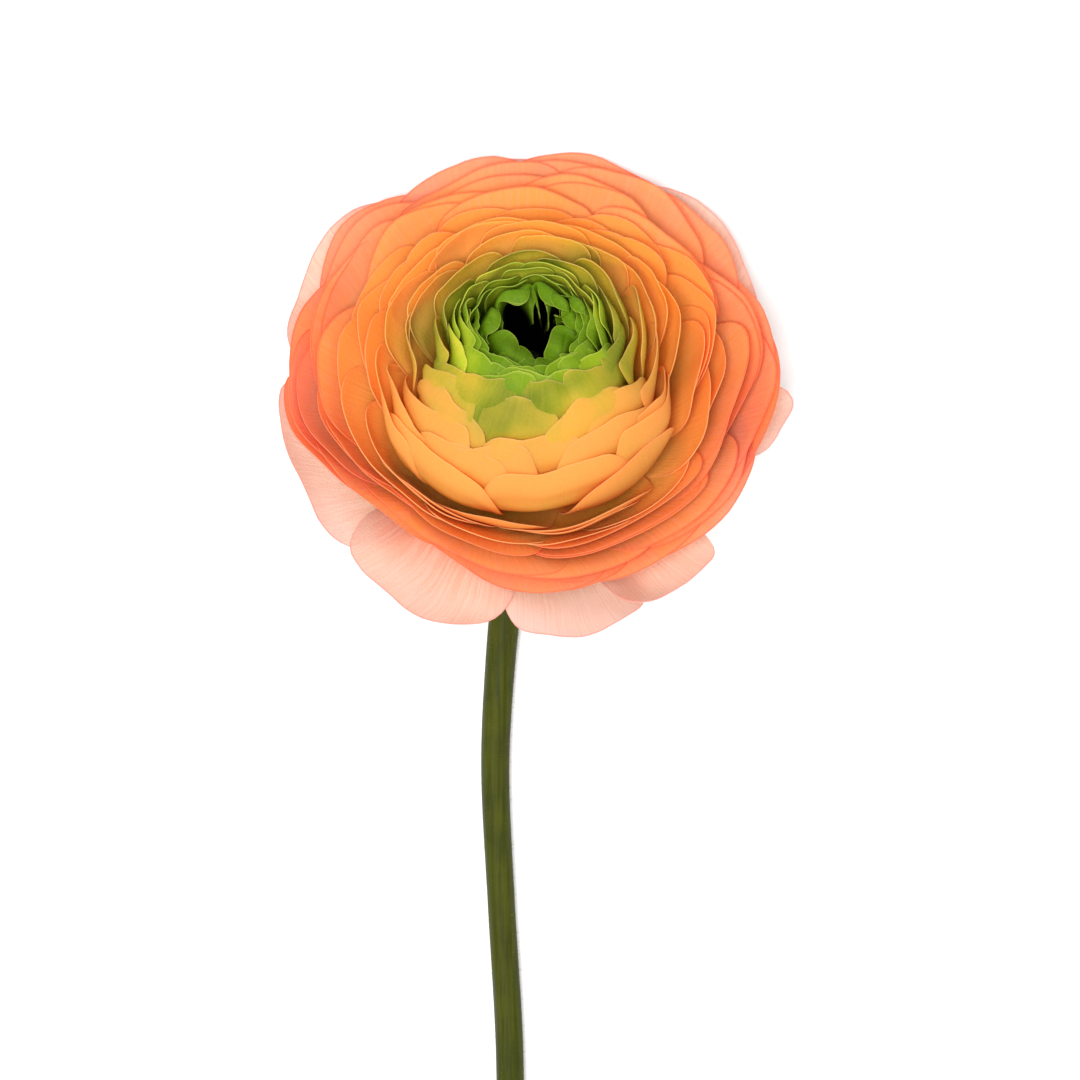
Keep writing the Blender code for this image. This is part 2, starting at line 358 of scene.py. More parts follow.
@dataclass
class Petal:
    """One petal on its shell; angles in degrees, lengths in millimetres."""

    name: str
    whorl: Whorl
    node: str | None
    azimuth: float
    width: float
    share: float
    tone: float
    rounding: float  # how far the corners fall back from the tip
    frill: float
    ruffle: float
    phase: float
    curl: float
    reach: float = 1.0  # length as a share of the shell's profile
    spread: float = 1.0  # radius at the rim against the shell's
    corner: float = 2.4
    skew: float = 0.0
    sweep: float = 0.0
    crumple: float = 0.0
    puff: float = 0.0
    slant: float = 0.0  # how much further one side reaches than the middle

    claw_half_width = 1.4
    claw_share = 0.48  # how far along the petal is at its full width
    claw_narrowing = 0.8  # how soon the claw's angle shrinks as the radius grows
    drawn_azimuth = 228.0  # where the outer petals stand back and show the guard petals
    drawn_in = 0.11  # how far they stand back there, as a share of the radius
    drawn_tightness = 7.0
    drawn_shares = (0.6, 0.46)  # the first share that does not stand back, and how soon the others do
    round_corner = 0.34  # how far the outermost corners fall back, from where and how sharply
    round_rise = (0.55, 0.45)
    round_sharpness = 2.8
    frill_waves = ((5.0, 1.0, 1.0), (11.0, 0.5, 2.3), (29.0, 0.12, 4.1))  # fineness, height, phase

    # where along the petal each of these starts and how long it takes to be full
    frill_rise = (0.6, 0.4)
    ruffle_rise = (0.4, 0.6)
    curl_rise = (0.82, 0.18)
    puff_rise = (0.86, 0.14)
    spread_rise = (0.0, 0.8)
    drift_rise = (0.0, 0.5)
    crumple_rise = (0.3, 0.4)

    def points(self, u: Array, v: Array) -> Array:
        """Return the petal's middle surface in the head frame.

        Args:
            u: Places across, from -1 to 1.
            v: Places along, from 0 at the claw to 1 at the rim.

        Returns:
            One point for each place, in millimetres.
        """
        calm = SIDE_SHELLS.controls(self.share)
        near, far = calm[0, 0], calm[3, 0]  # radius at the claw and at the rim
        claw = self.claw_half_width / (near + (far - near) * v * self.claw_narrowing)
        half = claw + (math.radians(self.width / 2.0) - claw) * smooth(v / self.claw_share)
        angle = math.radians(self.azimuth) + u * half + math.radians(self.sweep) * v * v
        place, slope = cubic(self.controls(calm, angle), v * self.length_at(u, v))
        outward = unit(np.stack([slope[:, 1], -slope[:, 0]], axis=1))
        place = place + outward * self.bulge(u, v)[:, None]
        radius = place[:, 0] * (1.0 + (self.spread - 1.0) * rising(v, *self.spread_rise))
        if self.whorl is not Whorl.GUARD:
            radius = radius * self.drawn(angle, v)
        flat = HEAD_DRIFT.moved(around(radius, angle, place[:, 1]), rising(v, *self.drift_rise))
        return HEART_CRUMPLE.moved(flat, self.crumple * rising(v, *self.crumple_rise))

    def controls(self, calm: Array, angle: Array) -> Array:
        """Blend the side shell's control points with the raised part's and the low part's at each angle."""
        raised = rising(-np.sin(angle), 0.05, 0.85)[:, None, None]
        cupped = 0.8 * np.clip(-np.cos(angle), 0.0, 1.0) * rising(self.share, 0.3, 0.2)
        low = smooth((np.sin(angle) + cupped) / 0.9)[:, None, None]
        controls = calm + (RAISED_SHELLS.controls(self.share) - calm) * raised
        return controls + (LOW_SHELLS.controls(self.share) - calm) * low

    def bulge(self, u: Array, v: Array) -> Array:
        """Return how far the petal stands off its shell, for its ruffle, its curled rim and its puff."""
        ruffle = self.ruffle * rising(v, *self.ruffle_rise) * np.sin(5.0 * u + 1.7 * self.phase)
        start, span = self.puff_rise
        swell = np.sin(math.pi * np.clip((v - start) / span, 0.0, 1.0))
        return ruffle + self.curl * rising(v, *self.curl_rise) + self.puff * (1.0 - np.abs(u) ** 4) * swell

    def drawn(self, angle: Array, v: Array) -> Array:
        """Return what is left of the radius where the outer petals stand back."""
        near = np.exp((np.cos(angle - math.radians(self.drawn_azimuth)) - 1.0) * self.drawn_tightness)
        last, span = self.drawn_shares
        outermost = min(max((last - self.share) / span, 0.0), 1.0)
        return 1.0 - self.drawn_in * outermost * near * rising(v, *self.spread_rise)

    def length_at(self, u: Array, v: Array) -> Array:
        """Return how far along the shell the petal reaches at each place across, with its frilled rim."""
        side = u - self.skew * (1.0 - u * u)
        top = 1.0 - self.rounding * np.abs(side) ** self.corner + self.slant * u
        start, span = self.round_rise
        top = top - self.round_corner * np.clip((np.abs(u) - start) / span, 0.0, 1.0) ** self.round_sharpness
        waves = sum(height * np.sin(fine * u + turn * self.phase) for fine, height, turn in self.frill_waves)
        return self.reach * (top + self.frill * waves * rising(v, *self.frill_rise))


@dataclass(frozen=True)
class Stretch:
    """A stretch of the petal spiral whose petals share their build."""

    whorl: Whorl
    packed: int  # petals that stand for packed ones
    per_packed: int  # petals to each packed one
    shares: tuple[float, float]
    width: float
    rounding: float
    corner: float
    curl: float
    crumple: float = 0.0
    puff: float = 0.0
    skew: float = 0.25
    slant: float = 0.0
    least_reach: float = 0.95
    gathering: float = 1.0  # above 1, more petals lie at the stretch's outer end
    shaded_sides_redder: float = 0.0  # how far back in the colour run petals at the sides lie, to redder colours that paint the shade on the flower's sides
    redder_front: float = 0.0  # how far back in the colour run petals at the raised side lie; further on if below 0

    reddest = 0.14  # the first tone of the spiral

    def tone(self, share: float, azimuth: float) -> float:
        """Return the place in the colour run of a petal at a share and an azimuth in degrees."""
        # Painted shade: petals at the flower's sides get redder colours.
        sides = self.shaded_sides_redder * abs(math.cos(math.radians(azimuth)))
        front = self.redder_front * max(-math.sin(math.radians(azimuth)), 0.0)
        return max(share - sides - front, self.reddest)

    def petal(self, chance: Chance, name: str, node: str | None, azimuth: float, share: float) -> Petal:
        """Draw one petal of the stretch.

        Args:
            chance: Where its small differences come from.
            name: Its name.
            node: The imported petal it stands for.
            azimuth: Where it stands, in degrees.
            share: Its shell.

        Returns:
            The petal.
        """

        def draw(low: float, high: float) -> float:
            """Return a number between two."""
            return float(chance.uniform(low, high))

        return Petal(
            name, self.whorl, node, azimuth,
            width=self.width * draw(0.85, 1.08),
            share=share,
            tone=self.tone(share, azimuth) + draw(-0.015, 0.015),
            reach=draw(self.least_reach, 1.0),
            rounding=self.rounding * draw(0.75, 1.3),
            corner=self.corner * draw(0.9, 1.2),
            skew=draw(-self.skew, self.skew),
            sweep=draw(-6.0, 6.0),
            frill=0.005,
            ruffle=draw(0.1, 0.35),
            phase=draw(0.0, 6.0),
            curl=self.curl * draw(0.3, 1.4),
            crumple=self.crumple,
            puff=self.puff * draw(0.85, 1.15),
            slant=(draw(-0.8, 0.8) - math.cos(math.radians(azimuth))) * self.slant,
        )


@dataclass
class Corolla:
    """The petals outside the nest: eight guard petals and the spiral within them."""

    head: HeadFrame
    seed: int = 11
    thickness: float = 0.16
    across: int = 36
    along: int = 36
    first_layer: float = 0.13  # height of the lowest petal's middle above the floor
    layers_per_share: float = 9.0  # how much higher petals further in are pressed
    press_softness: float = 0.35
    columns_at_sides: float = 0.6  # how much of the grid's columns gather at the petal's sides
    between_azimuth: float = 61.0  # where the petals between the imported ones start
    stray: float = 12.0  # how far those turn off their places, in degrees

    guards = (
        # azimuth, width, share, spread, rounding
        (92.0, 78.0, 0.000, 1.04, 0.12),
        (143.0, 66.0, 0.065, 1.03, 0.13),
        (198.0, 64.0, 0.000, 0.985, 0.10),
        (241.0, 54.0, 0.065, 1.01, 0.11),
        (282.0, 44.0, 0.000, 0.995, 0.12),
        (306.0, 33.0, 0.065, 1.00, 0.12),
        (356.0, 21.0, 0.000, 1.03, 0.25),
        (47.0, 66.0, 0.065, 1.03, 0.13),
    )
    spiral = (
        Stretch(Whorl.OUTER, 15, 3, (0.14, 0.44), 72.0, 0.15, 2.3, 0.25,
                least_reach=0.97, gathering=1.2, shaded_sides_redder=0.09, redder_front=-0.06),
        Stretch(Whorl.MIDDLE, 10, 3, (0.45, 0.645), 60.0, 0.2, 2.2, 0.3,
                puff=0.1, slant=0.03, shaded_sides_redder=0.08),
        Stretch(Whorl.INNER, 10, 5, (0.655, 0.86), 64.0, 0.07, 2.3, 0.12,
                puff=0.5, skew=0.35, slant=0.035, least_reach=0.97, redder_front=0.04),
        Stretch(Whorl.HEART, 0, 40, (0.864, 0.98), 62.0, 0.08, 2.4, 0.1,
                crumple=0.35, puff=0.15, skew=0.3, slant=0.04, least_reach=0.955),
    )

    def petals(self) -> list[Petal]:
        """Lay out every petal, from the guard petals inwards."""
        chance = np.random.default_rng(self.seed)
        laid = []
        for k, (azimuth, width, share, spread, rounding) in enumerate(self.guards):
            node = f"guard_petal_{k + 1}"
            rim = {"frill": 0.009, "ruffle": 0.4, "phase": float(chance.uniform(0.0, 6.0)), "curl": 0.3}
            shape = (azimuth, width, share, share, rounding)
            laid.append(Petal(f"{node}_look", Whorl.GUARD, node, *shape, **rim, spread=spread))
        packed_turn, between_turn = 0.0, self.between_azimuth
        for stretch in self.spiral:
            every = stretch.per_packed
            places = np.linspace(0.0, 1.0, every * max(stretch.packed, 1)) ** stretch.gathering
            first, last = stretch.shares
            for k, share in enumerate(first + (last - first) * places):
                if stretch.packed > 0 and k % every == 0:
                    node = f"{stretch.whorl.value}_{k // every + 1:02d}"
                    name, azimuth = f"{node}_look", packed_turn
                    packed_turn = (packed_turn + GOLDEN_ANGLE) % 360.0
                else:
                    node = None
                    name = f"{stretch.whorl.value}_between_{k + 1:02d}"
                    azimuth = between_turn + float(chance.uniform(-self.stray, self.stray))
                    between_turn = (between_turn + GOLDEN_ANGLE) % 360.0
                laid.append(stretch.petal(chance, name, node, azimuth, float(share)))
        return laid

    def build(self, finishes: dict[Whorl, Material]) -> None:
        """Build and dress every petal."""
        petals = self.petals()
        for petal in petals:
            wear(self.blade(petal), finishes[petal.whorl], petal.node)
        LOG.info("corolla: %d petals", len(petals))

    def blade(self, petal: Petal) -> Piece:
        """Bend a grid onto the petal's shell, press it on the floor it meets and give it thickness."""
        grid = add_grid(petal.name, self.across, self.along)
        u, v = grid_places(grid)
        u = np.sin(u * math.pi / 2.0) * self.columns_at_sides + u * (1.0 - self.columns_at_sides)
        world = self.head.to_world(petal.points(u, v))
        floor = self.first_layer + self.layers_per_share * petal.share
        world[:, 2] = smooth_floor(world[:, 2], floor, self.press_softness)
        set_points(grid, world)
        solidify(grid, self.thickness)
        outside = np.arange(len(grid.data.vertices)) < len(u)
        add_attribute(grid, "tone", np.where(outside, petal.tone, petal.tone + INSIDE_SHIFT[petal.whorl]))
        return grid


@dataclass(frozen=True)
class Lobe:
    """One small hooded petal of the nest; angles in degrees, lengths in millimetres."""

    azimuth: float
    back: float  # radius of its back
    tip: float  # radius where its hooked tip ends
    top: float  # height of its tip above the foot
    half_width: float
    cup: float
    twist: float
    fold: float

    foot = (3.45, 10.9)
    belly = (-0.5, 17.0)  # radius against the back's, and height
    shoulder = (1.4, 5.5)  # radius against the back's, and height above the tip
    crumple = 2.0

    def points(self, u: Array, v: Array) -> Array:
        """Return the lobe's middle surface in the head frame.

        Args:
            u: Places across, from -1 to 1.
            v: Places along, from 0 at the foot to 1 at the hooked tip.

        Returns:
            One point for each place, in millimetres.
        """
        belly = (self.back + self.belly[0], self.belly[1])
        shoulder = (self.back + self.shoulder[0], self.top + self.shoulder[1])
        spine = np.array([self.foot, belly, shoulder, (self.tip, self.top)])
        place, slope = cubic(spine, v * (1.0 - 0.3 * np.abs(u) ** 2.2))
        slope = unit(slope)
        inward = np.stack([-slope[:, 1], slope[:, 0]], axis=1)
        width = self.half_width * (0.3 + 0.7 * smooth(v / 0.6))
        cup = math.radians(self.cup)
        bow = width / min(math.sin(cup), 1.0) if self.cup < 90.0 else width
        sideways = bow * np.sin(cup * u)
        depth = bow * (1.0 - np.cos(cup * u)) + self.fold * np.cos(math.pi * 1.5 * u) * rising(v, 0.4, 0.4)
        place = place + inward * depth[:, None]
        angle = math.radians(self.azimuth) + math.radians(self.twist) * v * v
        cos, sin = np.cos(angle), np.sin(angle)
        x = place[:, 0] * cos - sideways * sin
        y = place[:, 0] * sin + sideways * cos
        return HEART_CRUMPLE.moved(np.stack([x, y, place[:, 1]], axis=1), self.crumple * rising(v, 0.4, 0.3))


@dataclass
class Nest:
    """The small hooded petals that close round the dark eye."""

    head: HeadFrame
    thickness: float = 0.22
    across: int = 26
    along: int = 40

    packed = 7  # lobes that stand for packed heart petals
    tones = (0.97, 0.005)  # the first tone and the step between neighbours

    lobes = (
        Lobe(204.0, 9.4, 2.6, 33.2, 4.4, 95.0, 12.0, 0.5),
        Lobe(232.0, 9.6, 3.6, 33.0, 4.0, 90.0, 18.0, 0.5),
        Lobe(322.0, 9.9, 3.8, 33.2, 3.6, 95.0, 14.0, 0.7),
        Lobe(30.0, 10.4, 7.6, 35.0, 3.2, 85.0, 0.0, 0.0),
        Lobe(96.0, 9.6, 4.2, 33.6, 3.0, 95.0, 16.0, 0.3),
        Lobe(128.0, 9.4, 3.8, 34.2, 3.0, 110.0, -14.0, 0.3),
        Lobe(286.0, 10.0, 5.4, 33.6, 3.4, 80.0, -16.0, 0.5),
        Lobe(348.0, 9.7, 2.8, 33.6, 4.4, 105.0, -14.0, 0.9),
        Lobe(44.0, 9.0, 5.6, 34.8, 1.9, 150.0, 0.0, 0.0),
        Lobe(156.0, 9.8, 4.6, 33.8, 3.0, 95.0, 14.0, 0.3),
        Lobe(178.0, 10.0, 5.2, 33.2, 3.2, 85.0, -10.0, 0.3),
        Lobe(260.0, 10.2, 5.8, 33.4, 3.4, 80.0, 14.0, 0.4),
        Lobe(306.0, 10.2, 5.2, 33.8, 3.2, 80.0, -12.0, 0.5),
        Lobe(10.0, 10.2, 5.4, 33.8, 2.8, 100.0, 12.0, 0.6),
        Lobe(70.0, 9.8, 4.8, 34.0, 3.2, 90.0, -12.0, 0.2),
    )

    def build(self, finish: Material) -> None:
        """Build and dress every lobe."""
        first, step = self.tones
        for k, lobe in enumerate(self.lobes):
            node = f"heart_petal_{k + 1:02d}" if k < self.packed else None
            grid = add_grid(f"{node}_look" if node else f"nest_petal_{k + 1:02d}", self.across, self.along)
            set_points(grid, self.head.to_world(lobe.points(*grid_places(grid))))
            add_attribute(grid, "tone", first + step * (k % 4))
            solidify(grid, self.thickness)
            wear(grid, finish, node)
        LOG.info("nest: %d hooded petals", len(self.lobes))


# ---------------- seed cone, calyx and stem


@dataclass
class SeedCone:
    """The cone of small carpels at the bottom of the eye, coloured near black: partly its own dark colour,
    partly painted shade of the deep eye.
    """

    head: HeadFrame
    carpels: int = 110
    carpel_radius: float = 0.75
    carpel_height: float = 0.35
    least_radius: float = 0.3  # nearer the axis than this, carpels point up rather than out
    rise: float = 0.35  # how far the carpels further out point up
    bare_ends: float = 0.03  # share of the cone at each end without carpels

    profile = (
        (0.02, 10.75), (2.4, 10.8), (2.8, 12.5), (2.85, 16.0),
        (2.5, 20.0), (1.7, 22.8), (0.8, 23.7), (0.02, 23.9),
    )
    carpel_run = (11.2, 12.4)  # height of the lowest carpel, and how far up they go

    def build(self, finish: Material) -> None:
        """Turn the cone's profile, raise the carpels on it and dress it."""
        grid = add_grid("seed_cone_look", 96, 90)
        u, v = grid_places(grid)
        knots = np.array(self.profile)
        place = catmull_rom(knots, v * (len(knots) - 1))
        radius = np.maximum(place[:, 0], 0.0)
        flat = around(radius, math.pi * u, place[:, 1])
        low, run = self.carpel_run
        heights = low + run * (np.arange(self.carpels) + 0.5) / self.carpels
        turns = np.radians(GOLDEN_ANGLE) * np.arange(self.carpels)
        seats = around(np.interp(heights, knots[2:, 1], knots[2:, 0]), turns, heights)
        nearest = np.min(np.linalg.norm(flat[:, None, :] - seats[None, :, :], axis=2), axis=1)
        swell = np.sqrt(np.clip(1.0 - (nearest / self.carpel_radius) ** 2, 0.0, 1.0)) * self.carpel_height
        level = flat * np.array([1.0, 1.0, 0.0]) / np.maximum(radius, self.least_radius)[:, None]
        away = unit(np.array([0.0, 0.0, self.rise]) + level)
        edge = smooth(np.minimum(v, 1.0 - v) / self.bare_ends)
        set_points(grid, self.head.to_world(flat + away * (swell * edge)[:, None]))
        close_round(grid)
        wear(grid, finish, "seed_cone")
        LOG.info("seed cone: %d carpels", self.carpels)


@dataclass
class Calyx:
    """The five sepals under the guard petals."""

    head: HeadFrame
    count: int = 5
    width: float = 54.0
    thickness: float = 0.4
    first_azimuth: float = 20.0
    foot_half_width: float = 2.0

    profile = ((7.0, 1.15), (10.0, 0.7), (14.0, 0.0), (18.0, -1.2))

    def build(self, finish: Material) -> None:
        """Build and dress every sepal."""
        for k in range(self.count):
            grid = add_grid(f"sepal_{k + 1}_look", 24, 24)
            set_points(grid, self.head.to_world(self.points(*grid_places(grid), k)))
            solidify(grid, self.thickness)
            wear(grid, finish, f"sepal_{k + 1}")
        LOG.info("calyx: %d sepals", self.count)

    def points(self, u: Array, v: Array, k: int) -> Array:
        """Return the middle surface of sepal k in the head frame.

        Args:
            u: Places across, from -1 to 1.
            v: Places along, from 0 at the foot to 1 at the tip.
            k: The sepal's number from 0.

        Returns:
            One point for each place, in millimetres.
        """
        place, _ = cubic(np.array(self.profile), v * (1.0 - 0.38 * np.abs(u) ** 2.3))
        foot_half = self.foot_half_width / place[:, 0]
        half = foot_half + (math.radians(self.width / 2.0) - foot_half) * smooth(v / 0.5)
        angle = math.radians(self.first_azimuth + 360.0 * k / self.count) + u * half
        boat = 0.5 * u * u * v + 0.12 * np.sin(9.0 * u + k) * v
        return around(place[:, 0], angle, place[:, 1] + boat)


@dataclass
class Stem:
    """The lying stem, bent up to the flower, with the receptacle it grows into and its downy hairs."""

    head: HeadFrame
    ribs: int = 9
    rib_height: float = 0.05
    rib_height: float = 0.05
    sides: int = 72
    hairs: int = 1500
    hair_length: tuple[float, float] = (0.35, 0.75)
    hair_radius: float = 0.028
    hair_root: float = 0.08  # how deep a hair starts under the skin
    hair_clearance: float = 0.15  # hairs whose tips come lower than this are left out
    seed: int = 3

    course = (
        # sideways, along and radius of the part that lies on the surface
        (-3.4, -130.0, 2.45),
        (-3.7, -110.0, 2.42),
        (-5.0, -86.0, 2.38),
        (-6.0, -62.0, 2.45),
        (-5.0, -42.0, 2.6),
        (-3.4, -26.0, 2.75),
    )
    receptacle = ((3.3, -2.5), (4.6, -0.6), (6.2, 0.9), (6.95, 2.2), (6.9, 3.0), (3.1, 10.3), (0.02, 10.5))
    cut_end = ((0.02, -0.5), (0.9, -0.5), (1.0, -0.05), (2.2, 0.0))  # radius and depth before the cut's edge

    def centre_line(self, rings: int) -> Array:
        """Return the rings from the cut end to the neck, each a place in the world and a radius."""
        climb = math.radians(90.0 - HEAD_LEAN)
        bend = self.head.neck_bend_radius
        rest = self.head.stem_rest_height
        knots = [(side, along, rest, radius) for side, along, radius in self.course]
        for share in (0.3, 0.6, 0.9):
            turned = climb * share
            side = self.course[-1][0] * (1.0 - float(smooth(share)))
            along = bend * (math.sin(turned) - math.sin(climb))
            knots.append((side, along, rest + bend * (1.0 - math.cos(turned)), self.course[-1][2]))
        line = catmull_rom(np.array(knots), np.linspace(0.0, len(knots) - 1.0, rings))
        line[:, 0] += self.head.foot.x
        line[:, 1] += self.head.foot.y
        return line

    def build(self, skin: Material, down: Material) -> None:
        """Build and dress the stem and its down."""
        line = self.centre_line(150)
        rings = self.rings(line)
        grid = add_grid("stem_look", self.sides, len(rings) - 1)
        u, v = grid_places(grid)
        row = np.rint(v * (len(rings) - 1)).astype(int)
        column = np.rint((u + 1.0) / 2.0 * self.sides).astype(int)
        places = np.array([self.ring_points(*ring) for ring in rings])
        set_points(grid, places[row, column])
        add_attribute(grid, "cut", (row < len(self.cut_end)).astype(float))
        close_round(grid)
        wear(grid, skin, "stem")
        self.build_down(line, down)
        LOG.info("stem: %d rings, %d hairs", len(rings), self.hairs)

    def rings(self, line: Array) -> list[tuple]:
        """Return every ring as its centre, its two directions, its radius and whether ribs show on it."""
        rings = []
        ways = unit(np.gradient(line[:, :3], axis=0))
        for radius, depth in self.cut_end:
            rings.append((*self.across(line[0, :3] - ways[0] * depth, ways[0]), radius, 0.0))
        for ring, way in zip(line, ways):
            rings.append((*self.across(ring[:3], way), ring[3], 1.0))
        foot = np.array(self.head.foot)
        axis = self.head.to_world(np.array([[0.0, 0.0, 1.0]]))[0] - foot
        knots = np.array(self.receptacle)
        for radius, height in catmull_rom(knots, np.linspace(0.0, len(knots) - 1.0, 31)):
            rings.append((*self.across(foot + axis * height, axis), max(radius, knots[-1, 0]), 0.0))
        return rings

    @staticmethod
    def across(centre: Array, way: Array) -> tuple[Array, Array, Array]:
        """Return a ring's centre with two directions across its way, the first near +X."""
        side = np.array([1.0, 0.0, 0.0]) - way * way[0]
        side /= np.linalg.norm(side)
        return centre, side, np.cross(way, side)

    def ring_points(self, centre: Array, side: Array, up: Array, radius: float, ribbed: float) -> Array:
        """Return the points of one ring, the last on the first, none below the floor.

        Args:
            centre: Where it is.
            side: The first direction across it.
            up: The second direction across it.
            radius: Its radius.
            ribbed: 1 where the ribs show, 0 where they do not.

        Returns:
            One point more than there are sides, in millimetres.
        """
        turns = math.tau * np.arange(self.sides + 1) / self.sides
        swell = (radius - ribbed * self.rib_height * (0.5 + 0.5 * np.cos(self.ribs * turns)))[:, None]
        points = centre + np.cos(turns)[:, None] * side * swell + np.sin(turns)[:, None] * up * swell
        points[:, 2] = np.maximum(points[:, 2], 0.01)
        points[-1] = points[0]
        return points

    def build_down(self, line: Array, down: Material) -> None:
        """Stand fine tapered hairs on the stem, all in one mesh."""
        chance = np.random.default_rng(self.seed)
        ways = np.gradient(line[:, :3], axis=0)
        points, faces = [], []
        for _ in range(self.hairs):
            k = int(chance.integers(1, len(line) - 1))
            centre, side, up = self.across(line[k, :3], ways[k] / np.linalg.norm(ways[k]))
            turn = chance.uniform(0.0, math.tau)
            away = math.cos(turn) * side + math.sin(turn) * up
            beside = -math.sin(turn) * side + math.cos(turn) * up
            ahead = np.cross(away, beside)
            foot = centre + away * (line[k, 3] - self.hair_root) + ahead * chance.uniform(-0.5, 0.5)
            length = chance.uniform(*self.hair_length)
            lean = chance.uniform(-0.5, 0.5) * beside + chance.uniform(0.0, 0.7) * ahead
            tip = foot + (away + lean) / np.linalg.norm(away + lean) * (length + self.hair_root)
            if tip[2] < self.hair_clearance:
                continue
            first = len(points)
            for corner in range(3):
                angle = math.tau * corner / 3.0
                points.append(foot + (math.cos(angle) * beside + math.sin(angle) * ahead) * self.hair_radius)
                faces.append((first + corner, first + (corner + 1) % 3, first + 3))
            points.append(tip)
            faces.append((first + 2, first + 1, first))
        mesh = bpy.data.meshes.new("stem_down")
        mesh.from_pydata([tuple(point * MM) for point in points], [], faces)
        piece = bpy.data.objects.new("stem_down", mesh)
        bpy.context.scene.collection.objects.link(piece)
        wear(piece, down)


# ---------------- node groups and finishes


class NodeSheet:
    """Adds nodes to a tree from left to right and links them."""

    def __init__(self, tree: Tree) -> None:
        """Start on a tree."""
        self.tree = tree
        self.column = 0

    def add(self, kind: str, inputs: dict | None = None, **settings) -> bpy.types.Node:
        """Add a node.

        Args:
            kind: The node's type name.
            inputs: Socket name or number to an output to link from, a value or an opaque colour.
            settings: Properties of the node itself.

        Returns:
            The node.
        """
        node = self.tree.nodes.new(kind)
        node.location = (220.0 * self.column, 0.0)
        self.column += 1
        for key, value in settings.items():
            setattr(node, key, value)
        for key, value in (inputs or {}).items():
            socket = node.inputs[key]
            if isinstance(value, Socket):
                self.tree.links.new(value, socket)
            else:
                socket.default_value = (*value, 1.0) if socket.type == "RGBA" else value
        return node

    def math(self, operation: str, a, b=0.0, c=0.0) -> Socket:
        """Return the output of a math node."""
        return self.add("ShaderNodeMath", {0: a, 1: b, 2: c}, operation=operation).outputs[0]

    def span(self, value, low: float, high: float, to_low=0.0, to_high=1.0) -> Socket:
        """Return value eased from one range to another."""
        ends = {"From Min": low, "From Max": high, "To Min": to_low, "To Max": to_high}
        node = self.add("ShaderNodeMapRange", {"Value": value, **ends}, interpolation_type="SMOOTHSTEP")
        return node.outputs["Result"]

    def mix(self, share, a, b, blend: str = "MIX") -> Socket:
        """Return a mix of two colours."""
        node = self.add("ShaderNodeMix", {0: share, 6: a, 7: b}, data_type="RGBA", blend_type=blend)
        return node.outputs[2]

    def point(self, x, y, z) -> Socket:
        """Return three numbers as one place."""
        return self.add("ShaderNodeCombineXYZ", {0: x, 1: y, 2: z}).outputs[0]

    def spot(self) -> Socket:
        """Return the place in space that is being shaded."""
        return self.add("ShaderNodeTexCoord").outputs["Object"]

    def number(self, name: str) -> Socket:
        """Return a number stored on the piece's points."""
        return self.add("ShaderNodeAttribute", attribute_name=name).outputs["Fac"]

    def noise(self, place, scale: float, detail: float, roughness: float = 0.5) -> Socket:
        """Return cloudy noise at a place."""
        inputs = {"Vector": place, "Scale": scale, "Detail": detail, "Roughness": roughness}
        return self.add("ShaderNodeTexNoise", inputs).outputs["Fac"]

    def bump(self, strength: float, distance: float, height) -> Socket:
        """Return normals roughened by a height."""
        inputs = {"Strength": strength, "Distance": distance, "Height": height}
        return self.add("ShaderNodeBump", inputs).outputs[0]

    def skin(self, colour, roughness, specular: float, normal) -> Socket:
        """Return a matt surface."""
        inputs = {"Base Color": colour, "Roughness": roughness, "Specular IOR Level": specular}
        return self.add("ShaderNodeBsdfPrincipled", {**inputs, "Normal": normal}).outputs[0]

    def surface(self, shader: Socket) -> None:
        """Show a shader on the material's surface."""
        self.add("ShaderNodeOutputMaterial", {"Surface": shader})

    def ramp(self, value, stops: tuple) -> Socket:
        """Return the colour at a value on a run of (place, colour) stops."""
        node = self.add("ShaderNodeValToRGB", {"Fac": value})
        band = node.color_ramp
        while len(band.elements) < len(stops):
            band.elements.new(1.0)
        for element, (place, colour) in zip(band.elements, stops):
            element.position = place
            element.color = (*colour, 1.0)
        return node.outputs["Color"]


def new_group(name: str, inputs: tuple[str, ...], outputs: tuple[str, ...]) -> tuple:
    """Start a shader node group.

    Args:
        name: The group's name.
        inputs: Names of its number inputs.
        outputs: Names of its number outputs.

    Returns:
        The group's sheet, and its inputs as the nodes inside see them.
    """
    group = bpy.data.node_groups.new(name, "ShaderNodeTree")
    for way, labels in (("INPUT", inputs), ("OUTPUT", outputs)):
        for label in labels:
            group.interface.new_socket(label, in_out=way, socket_type="NodeSocketFloat")
    sheet = NodeSheet(group)
    return sheet, sheet.add("NodeGroupInput").outputs


def vein_group() -> Tree:
    """Make the fine veins that fan from a petal's claw to its rim."""
    sheet, given = new_group("petal_veins", ("Across", "Along", "Fineness", "Seed"), ("Shade", "Height"))
    across, along, seed = given["Across"], given["Along"], given["Seed"]
    patch = sheet.point(sheet.math("MULTIPLY", across, 5.0), sheet.math("MULTIPLY", along, 3.0), seed)
    bent = sheet.math("MULTIPLY_ADD", sheet.noise(patch, 1.0, 2.0), 0.05, across)
    fanned = sheet.math("MULTIPLY", bent, given["Fineness"])
    fine = sheet.noise(sheet.point(fanned, sheet.math("MULTIPLY", along, 2.2), seed), 1.0, 3.0, 0.6)
    sheet.add("NodeGroupOutput", {"Shade": sheet.span(fine, 0.36, 0.66), "Height": fine})
    return sheet.tree


def margin_group() -> Tree:
    """Make the mask of a petal's margin, along its rim and both sides."""
    sheet, given = new_group("petal_margin", ("Across", "Along", "Width"), ("Mask",))
    rim = sheet.math("SUBTRACT", 1.0, given["Along"])
    side = sheet.math("SUBTRACT", 0.5, sheet.math("ABSOLUTE", sheet.math("SUBTRACT", given["Across"], 0.5)))
    share = sheet.math("DIVIDE", sheet.math("MINIMUM", rim, side), given["Width"])
    sheet.add("NodeGroupOutput", {"Mask": sheet.math("SUBTRACT", 1.0, sheet.span(share, 0.0, 1.0))})
    return sheet.tree


